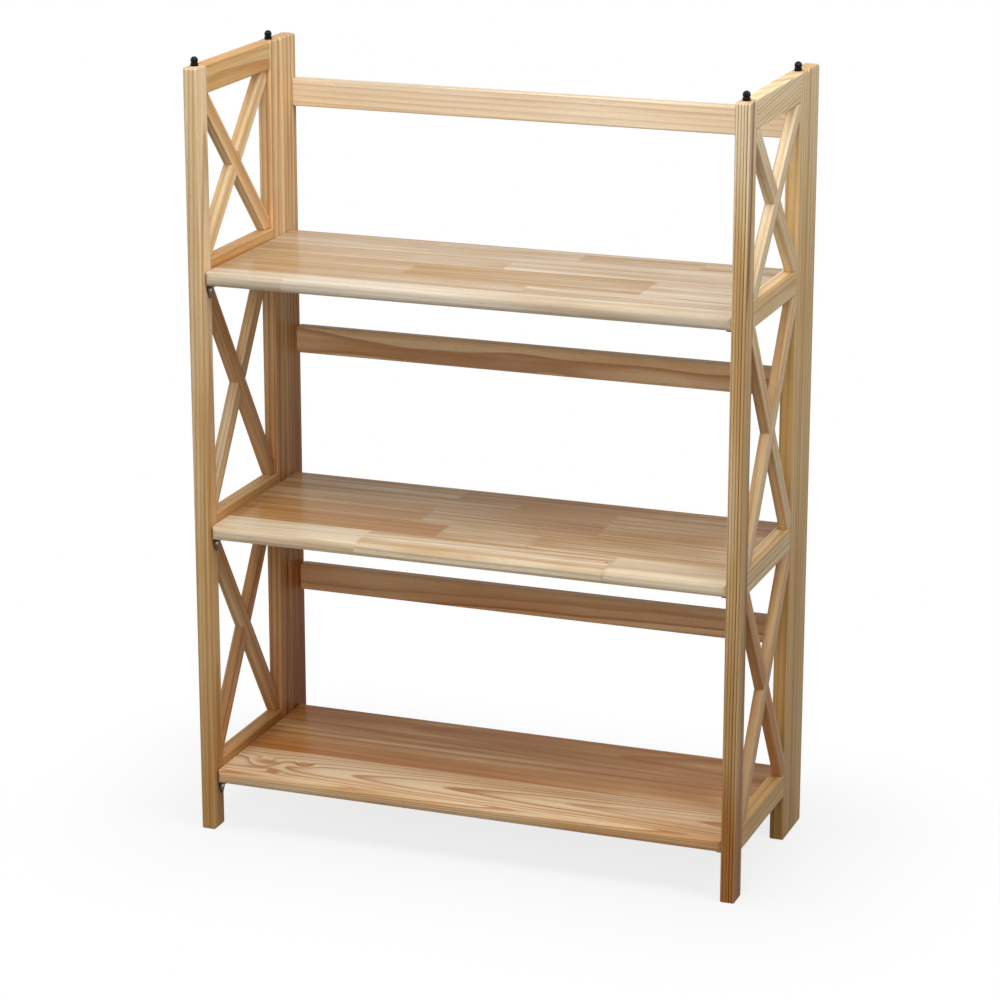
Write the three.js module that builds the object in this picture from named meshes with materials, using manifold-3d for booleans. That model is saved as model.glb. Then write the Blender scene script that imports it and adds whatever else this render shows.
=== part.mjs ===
// Folding bookcase in pine: two braced side frames hinged to a slatted back,
// with three shelves that pivot up against the slats before the sides fold in.
//
// Millimetres, +Z up, width along X, front towards -Y. The origin is on the
// floor at the centre of the width and the depth. Inside the assembly depth is
// counted from the front face backwards.

import * as THREE from 'three';
import { mergeVertices } from 'three/addons/utils/BufferGeometryUtils.js';
import Module from 'manifold-3d';

const wasm = await Module();
wasm.setup();

// Overall sizes
const WIDTH = 698.5;
const DEPTH = 292.1;
const HEIGHT = 965.2;

// Side frames
const PANEL_THICKNESS = 18;
const STILE_WIDTH = 29;
const RAIL_HEIGHT = 30;
const TOP_RAIL_HEIGHT = 35;
const TOP_BAY_HEIGHT = 200.7;
const FOOT_HEIGHT = 59.5;

// Crossed braces
const BRACE_WIDTH = 20;
const BRACE_THICKNESS = 12.5;
const BRACE_EASE = 1.4;
const LAP_GAP = 0.2;

// Slatted back
const POST_DEPTH = 48.5;
const SLAT_HEIGHT = 35;
const SLAT_THICKNESS = 15;
const SLAT_RISE = 157;

// Shelves
const SHELF_LEVELS = ['bottom', 'middle', 'top'];
const SHELF_THICKNESS = 18;
const SHELF_FRONT_SETBACK = 7;
const SHELF_END_CLEARANCE = 1;
const SHELF_BACK_CLEARANCE = 2.1;
const SHELF_NOSE_RADIUS = 7;
const SHELF_CORNER_RADIUS = 6;
const SHELF_END_EASE = 1.2;

// Eased edges of the boards
const EDGE_EASE = 1.8;
const FOOT_ROUND = 2.2;
const STILE_TOP_ROUND = 3.6;
const POST_TOP_ROUND = 6;
const SLAT_CORNER_ROUND = 2.6;

// Tenons on the rails and slats
const RAIL_TENON_LENGTH = 8;
const RAIL_TENON_THICKNESS = 8;
const RAIL_TENON_SHOULDER = 5;
const SLAT_TENON_LENGTH = 9;
const SLAT_TENON_THICKNESS = 8;
const SLAT_TENON_SHOULDER = 5;

// Stacking pins and the sockets in the feet
const STACK_PIN_RADIUS = 4.75;
const STACK_PIN_SEAT = 18;
const STACK_PIN_COLLAR = 3.3;
const STACK_PIN_GROOVE = 0.74;
const STACK_PIN_NECK_INSET = 0.85;
const STACK_PIN_CHAMFER = 0.8;
const STACK_SOCKET_PLAY = 0.5;
const STACK_SOCKET_SPARE = 1.5;

// Shelf pivots
const PIVOT_PIN_RADIUS = 3;
const PIVOT_POST_SEAT = 12;
const PIVOT_SHELF_SEAT = 15;
const PIVOT_PIN_CHAMFER = 0.5;
const PIVOT_RUNNING_CLEARANCE = 0.09;

// Shelf brackets
const BRACKET_WIDTH = 14.5;
const BRACKET_HEIGHT = 18;
const BRACKET_METAL = 1.5;
const BRACKET_TAB = 9;
const BRACKET_TIP_RADIUS = 1.6;
const BRACKET_BEND_RADIUS = 1.2;
const BRACKET_TAPER_START = 7.5;
const BRACKET_HOLE_RADIUS = 1.9;
const BRACKET_HOLE_DROP = 6.2;

// Butt hinges between the rear stiles and the back posts
const HINGE_HEIGHT = 45;
const HINGE_DROP = 3;
const HINGE_LEAF_WIDTH = 14;
const HINGE_LEAF_THICKNESS = 1.4;
const HINGE_KNUCKLE_RADIUS = 2.6;
const HINGE_KNUCKLES = 5;
const HINGE_KNUCKLE_GAP = 0.3;
const HINGE_AXIS_PROUD = 2.2;
const HINGE_PIN_RADIUS = 1.3;
const HINGE_PIN_HEAD_RADIUS = 2;
const HINGE_PIN_HEAD_HEIGHT = 1;
const HINGE_RUNNING_CLEARANCE = 0.07;
const HINGE_SCREW_RADIUS = 1.6;
const HINGE_SCREW_INSET = 9;

// Clearances shared by the whole piece
const FIT_GAP = 0.25;
const JOINT_GAP = 0.6;
const CUT_OVERRUN = 4;

// Facets
const ARC_STEPS = 3;
const EDGE_STEPS = 2;
const NOSE_STEPS = 5;
const CORNER_STEPS = 2;
const BALL_STEPS = 5;
const PIN_SIDES = 20;
const PIVOT_SIDES = 16;
const HINGE_SIDES = 12;
const SMALL_SIDES = 8;

// Colours taken from the picture
const PALE_PINE = 0xe9d3b0;
const GOLDEN_PINE = 0xd6a871;
const TAN_PINE = 0xcb9a66;
const BROWN_PINE = 0xa9744a;
const SHELF_PINE = 0xd2a274;
const BLACK_PLASTIC = 0x15151a;
const DARK_METAL = 0x3b3a38;
const BRIGHT_METAL = 0xb9b6ae;
const WOOD_ROUGHNESS = 0.42;
const PLASTIC_ROUGHNESS = 0.22;
const METAL_ROUGHNESS = 0.38;

// Sizes that follow from the ones above
const FRAME_DEPTH = DEPTH - POST_DEPTH - JOINT_GAP;
const POST_FRONT = FRAME_DEPTH + JOINT_GAP;
const REAR_STILE_FRONT = FRAME_DEPTH - STILE_WIDTH;
const BAY_DEPTH = REAR_STILE_FRONT - STILE_WIDTH;
const INNER_WIDTH = WIDTH - 2 * PANEL_THICKNESS;
const TOP_RAIL_FOOT = HEIGHT - TOP_RAIL_HEIGHT;
const TOP_LEVEL = TOP_RAIL_FOOT - TOP_BAY_HEIGHT - RAIL_HEIGHT;
const SHELF_PITCH = (TOP_LEVEL - FOOT_HEIGHT) / (SHELF_LEVELS.length - 1);
const SLAT_FRONT = DEPTH - SLAT_THICKNESS;
const PIVOT_DEPTH = SLAT_FRONT - SHELF_BACK_CLEARANCE - SHELF_THICKNESS / 2;
const HINGE_AXIS_DEPTH = FRAME_DEPTH + JOINT_GAP / 2;
const STACK_PIN_NECK_RADIUS = STACK_PIN_RADIUS - STACK_PIN_NECK_INSET;
const STACK_BALL_DROP = Math.sqrt(STACK_PIN_RADIUS ** 2 - STACK_PIN_NECK_RADIUS ** 2);
const STACK_PIN_RISE = STACK_PIN_COLLAR + STACK_PIN_GROOVE + STACK_BALL_DROP + STACK_PIN_RADIUS;
const STACK_SOCKET_RADIUS = STACK_PIN_RADIUS + STACK_SOCKET_PLAY;
const STACK_SOCKET_DEPTH = STACK_PIN_RISE + STACK_SOCKET_SPARE;

// Directions that turn a drawn outline into a standing board
const WIDTHWISE = new THREE.Vector3(1, 0, 0);
const DEPTHWISE = new THREE.Vector3(0, 1, 0);
const UPWARD = new THREE.Vector3(0, 0, 1);

// Height of the underside of a shelf and of the rail beside it
function levelHeight(level) {
  return FOOT_HEIGHT + level * SHELF_PITCH;
}

// Makes a closed solid from a closed geometry
function solid(geometry) {
  geometry.deleteAttribute('normal');
  geometry.deleteAttribute('uv');
  const merged = mergeVertices(geometry);
  return new wasm.Manifold(new wasm.Mesh({
    numProp: 3,
    vertProperties: new Float32Array(merged.attributes.position.array),
    triVerts: new Uint32Array(merged.index.array),
  }));
}

// Turns a solid back into a flat-shaded geometry
function geometryOf(body) {
  const mesh = body.getMesh();
  const geometry = new THREE.BufferGeometry();
  geometry.setAttribute('position', new THREE.BufferAttribute(mesh.vertProperties, mesh.numProp));
  geometry.setIndex(new THREE.BufferAttribute(mesh.triVerts, 1));
  const faceted = geometry.toNonIndexed();
  faceted.computeVertexNormals();
  return faceted;
}

// A named mesh with a material of its own
function piece(name, body, colour, roughness, metalness = 0) {
  const material = new THREE.MeshStandardMaterial({ color: colour, roughness, metalness });
  const mesh = new THREE.Mesh(geometryOf(body), material);
  mesh.name = name;
  return mesh;
}

// A wooden piece, set back from the front and up from the floor
function woodPiece(name, body, colour, depth = 0, height = 0) {
  const mesh = piece(name, body, colour, WOOD_ROUGHNESS);
  mesh.position.set(0, depth, height);
  return mesh;
}

// A straight block given by its sizes and its centre
function block(width, depth, height, x, y, z) {
  const geometry = new THREE.BoxGeometry(width, depth, height);
  geometry.translate(x, y, z);
  return solid(geometry);
}

// A round bar standing on a point
function uprightBar(radius, height, x, y, z, sides) {
  const geometry = new THREE.CylinderGeometry(radius, radius, height, sides);
  geometry.rotateX(Math.PI / 2);
  geometry.translate(x, y, z + height / 2);
  return solid(geometry);
}

// A round bar lying across the width, centred on a point
function crossBar(radius, length, x, y, z, sides) {
  const geometry = new THREE.CylinderGeometry(radius, radius, length, sides);
  geometry.rotateZ(Math.PI / 2);
  geometry.translate(x, y, z);
  return solid(geometry);
}

// A rectangle from its lower corner, rounded at the foot and at the top
function roundedOutline(width, height, footRadius, topRadius) {
  const outline = new THREE.Shape();
  outline.moveTo(footRadius, 0);
  outline.lineTo(width - footRadius, 0);
  outline.absarc(width - footRadius, footRadius, footRadius, -Math.PI / 2, 0);
  outline.lineTo(width, height - topRadius);
  outline.absarc(width - topRadius, height - topRadius, topRadius, 0, Math.PI / 2);
  outline.lineTo(topRadius, height);
  outline.absarc(topRadius, height - topRadius, topRadius, Math.PI / 2, Math.PI);
  outline.lineTo(0, footRadius);
  outline.absarc(footRadius, footRadius, footRadius, Math.PI, Math.PI + Math.PI / 2);
  return outline;
}

// An outline given thickness either side of its plane, with its face edges rounded over
function easedExtrusion(outline, thickness, ease, arcSteps) {
  const geometry = new THREE.ExtrudeGeometry(outline, {
    depth: thickness - 2 * ease,
    bevelEnabled: true,
    bevelThickness: ease,
    bevelSize: ease,
    bevelOffset: -ease,
    bevelSegments: EDGE_STEPS,
    curveSegments: arcSteps,
  });
  geometry.translate(0, 0, ease - thickness / 2);
  return geometry;
}

// An outline given plain thickness from its plane onwards
function plainExtrusion(outline, thickness, arcSteps) {
  return new THREE.ExtrudeGeometry(outline, {
    depth: thickness,
    bevelEnabled: false,
    curveSegments: arcSteps,
  });
}

// Stands a drawing of depth and height on edge, with its thickness across the width
function facingSide(geometry) {
  return geometry.applyMatrix4(new THREE.Matrix4().makeBasis(DEPTHWISE, UPWARD, WIDTHWISE));
}

// Stands a drawing of width and height on edge, with its thickness along the depth
function facingFront(geometry) {
  return geometry.applyMatrix4(
    new THREE.Matrix4().makeBasis(WIDTHWISE, UPWARD, DEPTHWISE.clone().negate()),
  );
}

// Rails of a side frame, from the floor up
function railTable() {
  const rails = SHELF_LEVELS.map((level, index) => ({
    name: level,
    foot: levelHeight(index),
    height: RAIL_HEIGHT,
  }));
  rails.push({ name: 'crown', foot: TOP_RAIL_FOOT, height: TOP_RAIL_HEIGHT });
  return rails;
}

// The tenon of a rail, or with a gap added the mortise that takes it
function railTenon(rail, seatDepth, side, gap) {
  const reach = RAIL_TENON_LENGTH + gap;
  const height = rail.height - 2 * RAIL_TENON_SHOULDER + 2 * gap;
  return block(
    RAIL_TENON_THICKNESS + 2 * gap,
    reach + CUT_OVERRUN,
    height,
    0,
    seatDepth + side * (reach - CUT_OVERRUN) / 2,
    rail.foot + rail.height / 2,
  );
}

// A rail with a tenon at each end, from the front stile to the rear one
function railBody(rail) {
  const length = BAY_DEPTH - 2 * FIT_GAP;
  const outline = roundedOutline(length, rail.height, FOOT_ROUND, FOOT_ROUND);
  const geometry = facingSide(easedExtrusion(outline, PANEL_THICKNESS, EDGE_EASE, CORNER_STEPS));
  geometry.translate(0, STILE_WIDTH + FIT_GAP, rail.foot);
  let body = solid(geometry);
  body = body.add(railTenon(rail, STILE_WIDTH, -1, 0));
  body = body.add(railTenon(rail, REAR_STILE_FRONT, 1, 0));
  return body;
}

// Places of the two hinges of a side, each just under a shelf
function hingeFeet() {
  const levels = [0, SHELF_LEVELS.length - 1];
  return levels.map((level) => levelHeight(level) - HINGE_DROP - HINGE_HEIGHT);
}

// Room for a hinge leaf and its knuckles in the wood that carries it
function hingeRecess(foot, leafDepth, hand) {
  const reach = HINGE_LEAF_WIDTH + FIT_GAP;
  const height = HINGE_HEIGHT + 2 * FIT_GAP;
  const thickness = HINGE_LEAF_THICKNESS + 2 * FIT_GAP;
  const edge = PANEL_THICKNESS / 2;
  const leafRoom = block(
    reach + CUT_OVERRUN,
    thickness,
    height,
    hand * (edge - (reach - CUT_OVERRUN) / 2),
    leafDepth,
    foot + HINGE_HEIGHT / 2,
  );
  const knuckleRoom = uprightBar(
    HINGE_KNUCKLE_RADIUS + FIT_GAP,
    height,
    hand * (edge + HINGE_AXIS_PROUD),
    HINGE_AXIS_DEPTH,
    foot - FIT_GAP,
    HINGE_SIDES,
  );
  return leafRoom.add(knuckleRoom);
}

// A stile with its mortises, the seat of its stacking pin and the socket in its foot
function stileBody(front, hand) {
  const isFront = front === 0;
  const outline = roundedOutline(STILE_WIDTH, HEIGHT, FOOT_ROUND, STILE_TOP_ROUND);
  const geometry = facingSide(easedExtrusion(outline, PANEL_THICKNESS, EDGE_EASE, ARC_STEPS));
  geometry.translate(0, front, 0);
  let body = solid(geometry);
  const seat = isFront ? STILE_WIDTH : REAR_STILE_FRONT;
  const side = isFront ? -1 : 1;
  for (const rail of railTable()) {
    body = body.subtract(railTenon(rail, seat, side, FIT_GAP));
  }
  const middle = front + STILE_WIDTH / 2;
  const pinSeat = STACK_PIN_SEAT + FIT_GAP;
  body = body.subtract(uprightBar(
    STACK_PIN_RADIUS + FIT_GAP, pinSeat + CUT_OVERRUN, 0, middle, HEIGHT - pinSeat, PIN_SIDES,
  ));
  body = body.subtract(uprightBar(
    STACK_SOCKET_RADIUS, STACK_SOCKET_DEPTH + CUT_OVERRUN, 0, middle, -CUT_OVERRUN, PIN_SIDES,
  ));
  if (!isFront) {
    const leafDepth = FRAME_DEPTH - HINGE_LEAF_THICKNESS / 2;
    for (const foot of hingeFeet()) {
      body = body.subtract(hingeRecess(foot, leafDepth, hand));
    }
  }
  return body;
}

// Outline of a brace from corner to corner of its bay, cut to the rails and the stiles
function braceOutline(run, rise, rising) {
  const slope = Math.atan2(rise, run);
  const along = BRACE_WIDTH / 2 / Math.sin(slope);
  const up = BRACE_WIDTH / 2 / Math.cos(slope);
  const corners = [
    [0, 0],
    [along, 0],
    [run, rise - up],
    [run, rise],
    [run - along, rise],
    [0, up],
  ];
  return new THREE.Shape(corners.map(([depth, height]) => (
    new THREE.Vector2(rising ? depth : run - depth, height)
  )));
}

// The half of a brace's thickness that gives way where the other brace crosses it
function lapCut(run, rise, crossRising, towardInside, hand) {
  const slope = Math.atan2(rise, run) * (crossRising ? 1 : -1);
  const thickness = BRACE_THICKNESS / 2 + LAP_GAP / 2 + CUT_OVERRUN;
  const width = BRACE_WIDTH + 2 * LAP_GAP;
  const geometry = new THREE.BoxGeometry(thickness, Math.hypot(run, rise), width);
  geometry.rotateX(slope);
  const offset = thickness / 2 - LAP_GAP / 2;
  geometry.translate(hand * (towardInside ? offset : -offset), run / 2, rise / 2);
  return solid(geometry);
}

// One of two crossed braces, lapped so that both lie in one thickness
function braceBody(run, rise, rising, hand) {
  const outline = braceOutline(run, rise, rising);
  const geometry = facingSide(
    easedExtrusion(outline, BRACE_THICKNESS, BRACE_EASE, CORNER_STEPS),
  );
  return solid(geometry).subtract(lapCut(run, rise, !rising, rising, hand));
}

// Both braces of every bay of a side frame, flush with its outer face
function makeBraces(sideName, hand) {
  const group = new THREE.Group();
  const rails = railTable();
  const run = BAY_DEPTH - 2 * FIT_GAP;
  const setOut = (PANEL_THICKNESS - BRACE_THICKNESS) / 2;
  SHELF_LEVELS.forEach((level, index) => {
    const foot = rails[index].foot + rails[index].height + FIT_GAP;
    const rise = rails[index + 1].foot - FIT_GAP - foot;
    for (const rising of [true, false]) {
      const way = rising ? 'rising' : 'falling';
      const name = `${sideName}_${level}_${way}_brace`;
      const mesh = woodPiece(name, braceBody(run, rise, rising, hand), GOLDEN_PINE);
      mesh.position.set(-hand * setOut, STILE_WIDTH + FIT_GAP, foot);
      group.add(mesh);
    }
  });
  return group;
}

// A stacking pin: a collar, a groove and a ball head, turned about its own axis
function stackingPinBody() {
  const profile = [new THREE.Vector2(0, 0)];
  profile.push(new THREE.Vector2(STACK_PIN_RADIUS - STACK_PIN_CHAMFER, 0));
  profile.push(new THREE.Vector2(STACK_PIN_RADIUS, STACK_PIN_CHAMFER));
  profile.push(new THREE.Vector2(STACK_PIN_RADIUS, STACK_PIN_SEAT + STACK_PIN_COLLAR));
  const middle = STACK_PIN_SEAT + STACK_PIN_RISE - STACK_PIN_RADIUS;
  const start = -Math.asin(STACK_BALL_DROP / STACK_PIN_RADIUS);
  for (let step = 0; step <= BALL_STEPS; step += 1) {
    const turn = start + step / BALL_STEPS * (Math.PI / 2 - start);
    const radius = STACK_PIN_RADIUS * Math.cos(turn);
    const height = middle + STACK_PIN_RADIUS * Math.sin(turn);
    profile.push(new THREE.Vector2(step === BALL_STEPS ? 0 : radius, height));
  }
  const geometry = new THREE.LatheGeometry(profile, PIN_SIDES);
  geometry.rotateX(Math.PI / 2);
  return solid(geometry);
}

// A pivot pin lying across the width, its inner end in the shelf
function pivotPinBody() {
  const half = (PIVOT_POST_SEAT + PIVOT_SHELF_SEAT) / 2;
  const profile = [
    new THREE.Vector2(0, -half),
    new THREE.Vector2(PIVOT_PIN_RADIUS - PIVOT_PIN_CHAMFER, -half),
    new THREE.Vector2(PIVOT_PIN_RADIUS, PIVOT_PIN_CHAMFER - half),
    new THREE.Vector2(PIVOT_PIN_RADIUS, half - PIVOT_PIN_CHAMFER),
    new THREE.Vector2(PIVOT_PIN_RADIUS - PIVOT_PIN_CHAMFER, half),
    new THREE.Vector2(0, half),
  ];
  const geometry = new THREE.LatheGeometry(profile, PIVOT_SIDES);
  geometry.rotateZ(Math.PI / 2);
  return solid(geometry);
}

// Outline of a shelf bracket: straight at the top, drawn in to a blunt tip
function bracketOutline() {
  const half = BRACKET_WIDTH / 2;
  const outline = new THREE.Shape();
  outline.moveTo(-half, 0);
  outline.lineTo(-half, -BRACKET_TAPER_START);
  outline.lineTo(-BRACKET_TIP_RADIUS, BRACKET_TIP_RADIUS - BRACKET_HEIGHT);
  outline.quadraticCurveTo(0, -BRACKET_HEIGHT, BRACKET_TIP_RADIUS, BRACKET_TIP_RADIUS - BRACKET_HEIGHT);
  outline.lineTo(half, -BRACKET_TAPER_START);
  outline.lineTo(half, 0);
  return outline;
}

// Bent section of a bracket, drawn across the width and downwards from the shelf
function bracketSection(hand) {
  const outline = new THREE.Shape();
  outline.moveTo(0, 0);
  outline.lineTo(0, -BRACKET_HEIGHT);
  outline.lineTo(hand * BRACKET_METAL, -BRACKET_HEIGHT);
  outline.lineTo(hand * BRACKET_METAL, -BRACKET_METAL - BRACKET_BEND_RADIUS);
  outline.quadraticCurveTo(
    hand * BRACKET_METAL, -BRACKET_METAL, hand * (BRACKET_METAL + BRACKET_BEND_RADIUS), -BRACKET_METAL,
  );
  outline.lineTo(hand * BRACKET_TAB, -BRACKET_METAL);
  outline.lineTo(hand * BRACKET_TAB, 0);
  outline.lineTo(0, 0);
  return outline;
}

// A bent metal bracket whose tab carries the front corner of a shelf
function bracketBody(hand) {
  const bent = facingFront(plainExtrusion(bracketSection(hand), BRACKET_WIDTH, ARC_STEPS));
  bent.translate(0, BRACKET_WIDTH / 2, 0);
  const trim = facingSide(plainExtrusion(bracketOutline(), 2 * BRACKET_TAB + CUT_OVERRUN, ARC_STEPS));
  trim.translate(-BRACKET_TAB - CUT_OVERRUN / 2, 0, 0);
  const hole = crossBar(
    BRACKET_HOLE_RADIUS, BRACKET_METAL + CUT_OVERRUN, 0, 0, -BRACKET_HOLE_DROP, SMALL_SIDES,
  );
  return solid(bent).intersect(solid(trim)).subtract(hole);
}

// Foot of one knuckle, counted up from the foot of its hinge
function knuckleFoot(index) {
  return index * HINGE_HEIGHT / HINGE_KNUCKLES;
}

// A hinge leaf with every second knuckle; the leaves differ in their place and first knuckle
function leafBody(leafDepth, firstKnuckle, hand) {
  const edge = PANEL_THICKNESS / 2;
  const axisX = hand * (edge + HINGE_AXIS_PROUD);
  const reach = HINGE_LEAF_WIDTH + HINGE_AXIS_PROUD;
  const knuckleHeight = HINGE_HEIGHT / HINGE_KNUCKLES;
  let body = block(
    reach,
    HINGE_LEAF_THICKNESS,
    HINGE_HEIGHT,
    axisX - hand * reach / 2,
    leafDepth,
    HINGE_HEIGHT / 2,
  );
  for (let index = 0; index < HINGE_KNUCKLES; index += 1) {
    const own = index % 2 === firstKnuckle;
    const radius = own ? HINGE_KNUCKLE_RADIUS : HINGE_KNUCKLE_RADIUS + HINGE_KNUCKLE_GAP;
    const spread = own ? -HINGE_KNUCKLE_GAP / 2 : HINGE_KNUCKLE_GAP / 2;
    const foot = Math.max(0, knuckleFoot(index) - spread);
    const top = Math.min(HINGE_HEIGHT, knuckleFoot(index) + knuckleHeight + spread);
    const overrun = own ? 0 : CUT_OVERRUN;
    const low = index === 0 ? foot - overrun : foot;
    const high = index === HINGE_KNUCKLES - 1 ? top + overrun : top;
    const barrel = uprightBar(radius, high - low, axisX, HINGE_AXIS_DEPTH, low, HINGE_SIDES);
    body = own ? body.add(barrel) : body.subtract(barrel);
  }
  const bore = HINGE_PIN_RADIUS + HINGE_RUNNING_CLEARANCE;
  body = body.subtract(uprightBar(
    bore, HINGE_HEIGHT + 2 * CUT_OVERRUN, axisX, HINGE_AXIS_DEPTH, -CUT_OVERRUN, HINGE_SIDES,
  ));
  for (const height of [HINGE_SCREW_INSET, HINGE_HEIGHT - HINGE_SCREW_INSET]) {
    const screw = new THREE.CylinderGeometry(
      HINGE_SCREW_RADIUS, HINGE_SCREW_RADIUS, HINGE_LEAF_THICKNESS + CUT_OVERRUN, SMALL_SIDES,
    );
    screw.translate(hand * (edge - HINGE_LEAF_WIDTH / 2), leafDepth, height);
    body = body.subtract(solid(screw));
  }
  return body;
}

// The pin of a hinge, with a low head above its top knuckle
function hingePinBody(hand) {
  const axisX = hand * (PANEL_THICKNESS / 2 + HINGE_AXIS_PROUD);
  const shank = uprightBar(
    HINGE_PIN_RADIUS, HINGE_HEIGHT + FIT_GAP + HINGE_PIN_HEAD_HEIGHT, axisX, HINGE_AXIS_DEPTH, 0,
    HINGE_SIDES,
  );
  const head = uprightBar(
    HINGE_PIN_HEAD_RADIUS, HINGE_PIN_HEAD_HEIGHT, axisX, HINGE_AXIS_DEPTH, HINGE_HEIGHT + FIT_GAP,
    HINGE_SIDES,
  );
  return shank.add(head);
}

// The two hinges of a side
function makeHinges(sideName, hand) {
  const group = new THREE.Group();
  const frameLeafDepth = FRAME_DEPTH - HINGE_LEAF_THICKNESS / 2;
  const postLeafDepth = POST_FRONT + HINGE_LEAF_THICKNESS / 2;
  hingeFeet().forEach((foot, index) => {
    const place = index === 0 ? 'lower' : 'upper';
    const label = `${sideName}_${place}_hinge`;
    const pieces = [
      piece(`${label}_frame_leaf`, leafBody(frameLeafDepth, 1, hand), DARK_METAL, METAL_ROUGHNESS, 1),
      piece(`${label}_post_leaf`, leafBody(postLeafDepth, 0, hand), DARK_METAL, METAL_ROUGHNESS, 1),
      piece(`${label}_pin`, hingePinBody(hand), BRIGHT_METAL, METAL_ROUGHNESS, 1),
    ];
    for (const mesh of pieces) {
      mesh.position.z = foot;
      group.add(mesh);
    }
  });
  return group;
}

// A braced side frame with its stacking pins and shelf brackets
function makeSideFrame(sideName, hand) {
  const group = new THREE.Group();
  const frontStile = stileBody(0, hand);
  const rearStile = stileBody(REAR_STILE_FRONT, hand);
  group.add(woodPiece(`${sideName}_front_stile`, frontStile, PALE_PINE));
  group.add(woodPiece(`${sideName}_rear_stile`, rearStile, GOLDEN_PINE));
  for (const rail of railTable()) {
    group.add(woodPiece(`${sideName}_${rail.name}_rail`, railBody(rail), GOLDEN_PINE));
  }
  group.add(makeBraces(sideName, hand));
  const pinPlaces = { front: STILE_WIDTH / 2, rear: REAR_STILE_FRONT + STILE_WIDTH / 2 };
  for (const [place, depth] of Object.entries(pinPlaces)) {
    const name = `${sideName}_${place}_stacking_pin`;
    const mesh = piece(name, stackingPinBody(), BLACK_PLASTIC, PLASTIC_ROUGHNESS);
    mesh.position.set(0, depth, HEIGHT - STACK_PIN_SEAT);
    group.add(mesh);
  }
  SHELF_LEVELS.forEach((level, index) => {
    const name = `${sideName}_${level}_shelf_bracket`;
    const mesh = piece(name, bracketBody(hand), DARK_METAL, METAL_ROUGHNESS, 1);
    mesh.position.set(
      hand * (PANEL_THICKNESS / 2 + FIT_GAP),
      STILE_WIDTH - BRACKET_WIDTH / 2,
      levelHeight(index) - FIT_GAP,
    );
    group.add(mesh);
  });
  return group;
}

// Height of the underside of the slat behind a shelf
function slatFoot(level) {
  return levelHeight(level) + SHELF_THICKNESS + SLAT_RISE;
}

// The tenon of a slat, or with a gap added the mortise that takes it
function slatTenon(foot, seatX, side, gap) {
  const reach = SLAT_TENON_LENGTH + gap;
  return block(
    reach + CUT_OVERRUN,
    SLAT_TENON_THICKNESS + 2 * gap,
    SLAT_HEIGHT - 2 * SLAT_TENON_SHOULDER + 2 * gap,
    seatX + side * (reach - CUT_OVERRUN) / 2,
    SLAT_FRONT + SLAT_THICKNESS / 2,
    foot + SLAT_HEIGHT / 2,
  );
}

// A back post with its mortises, pivot holes and hinge recesses
function postBody(hand) {
  const outline = roundedOutline(POST_DEPTH, HEIGHT, FOOT_ROUND, POST_TOP_ROUND);
  const geometry = facingSide(easedExtrusion(outline, PANEL_THICKNESS, EDGE_EASE, ARC_STEPS));
  geometry.translate(0, POST_FRONT, 0);
  let body = solid(geometry);
  const inner = hand * PANEL_THICKNESS / 2;
  SHELF_LEVELS.forEach((_, index) => {
    body = body.subtract(slatTenon(slatFoot(index), inner, -hand, FIT_GAP));
    const seat = PIVOT_POST_SEAT + FIT_GAP;
    body = body.subtract(crossBar(
      PIVOT_PIN_RADIUS + PIVOT_RUNNING_CLEARANCE,
      seat + CUT_OVERRUN,
      inner - hand * (seat - CUT_OVERRUN) / 2,
      PIVOT_DEPTH,
      levelHeight(index) + SHELF_THICKNESS / 2,
      PIVOT_SIDES,
    ));
  });
  const leafDepth = POST_FRONT + HINGE_LEAF_THICKNESS / 2;
  for (const foot of hingeFeet()) {
    body = body.subtract(hingeRecess(foot, leafDepth, hand));
  }
  return body;
}

// A back post with the pivot pins that it holds
function makePost(sideName, hand) {
  const group = new THREE.Group();
  group.add(woodPiece(`${sideName}_back_post`, postBody(hand), TAN_PINE));
  const inner = hand * PANEL_THICKNESS / 2;
  SHELF_LEVELS.forEach((level, index) => {
    const name = `${sideName}_${level}_pivot_pin`;
    const mesh = piece(name, pivotPinBody(), BRIGHT_METAL, METAL_ROUGHNESS, 1);
    mesh.position.set(
      inner + hand * (PIVOT_SHELF_SEAT - PIVOT_POST_SEAT) / 2,
      PIVOT_DEPTH,
      levelHeight(index) + SHELF_THICKNESS / 2,
    );
    group.add(mesh);
  });
  return group;
}

// A slat from post to post with a tenon at each end
function slatBody(foot) {
  const length = INNER_WIDTH - 2 * FIT_GAP;
  const outline = roundedOutline(length, SLAT_HEIGHT, SLAT_CORNER_ROUND, SLAT_CORNER_ROUND);
  const geometry = facingFront(easedExtrusion(outline, SLAT_THICKNESS, EDGE_EASE, CORNER_STEPS));
  geometry.translate(-length / 2, SLAT_FRONT + SLAT_THICKNESS / 2, foot);
  let body = solid(geometry);
  for (const side of [-1, 1]) {
    body = body.add(slatTenon(foot, side * INNER_WIDTH / 2, side, 0));
  }
  return body;
}

// Section of a shelf: a rounded nose in front, a full round behind at the pivot
function shelfSection() {
  const half = SHELF_THICKNESS / 2;
  const nose = Math.min(SHELF_NOSE_RADIUS, half);
  const outline = new THREE.Shape();
  outline.moveTo(SHELF_FRONT_SETBACK + nose, 0);
  outline.lineTo(PIVOT_DEPTH, 0);
  outline.absarc(PIVOT_DEPTH, half, half, -Math.PI / 2, 0);
  outline.absarc(PIVOT_DEPTH, half, half, 0, Math.PI / 2);
  outline.lineTo(SHELF_FRONT_SETBACK + nose, SHELF_THICKNESS);
  outline.absarc(
    SHELF_FRONT_SETBACK + nose, SHELF_THICKNESS - nose, nose, Math.PI / 2, Math.PI,
  );
  outline.lineTo(SHELF_FRONT_SETBACK, nose);
  outline.absarc(SHELF_FRONT_SETBACK + nose, nose, nose, Math.PI, Math.PI + Math.PI / 2);
  return outline;
}

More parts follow.
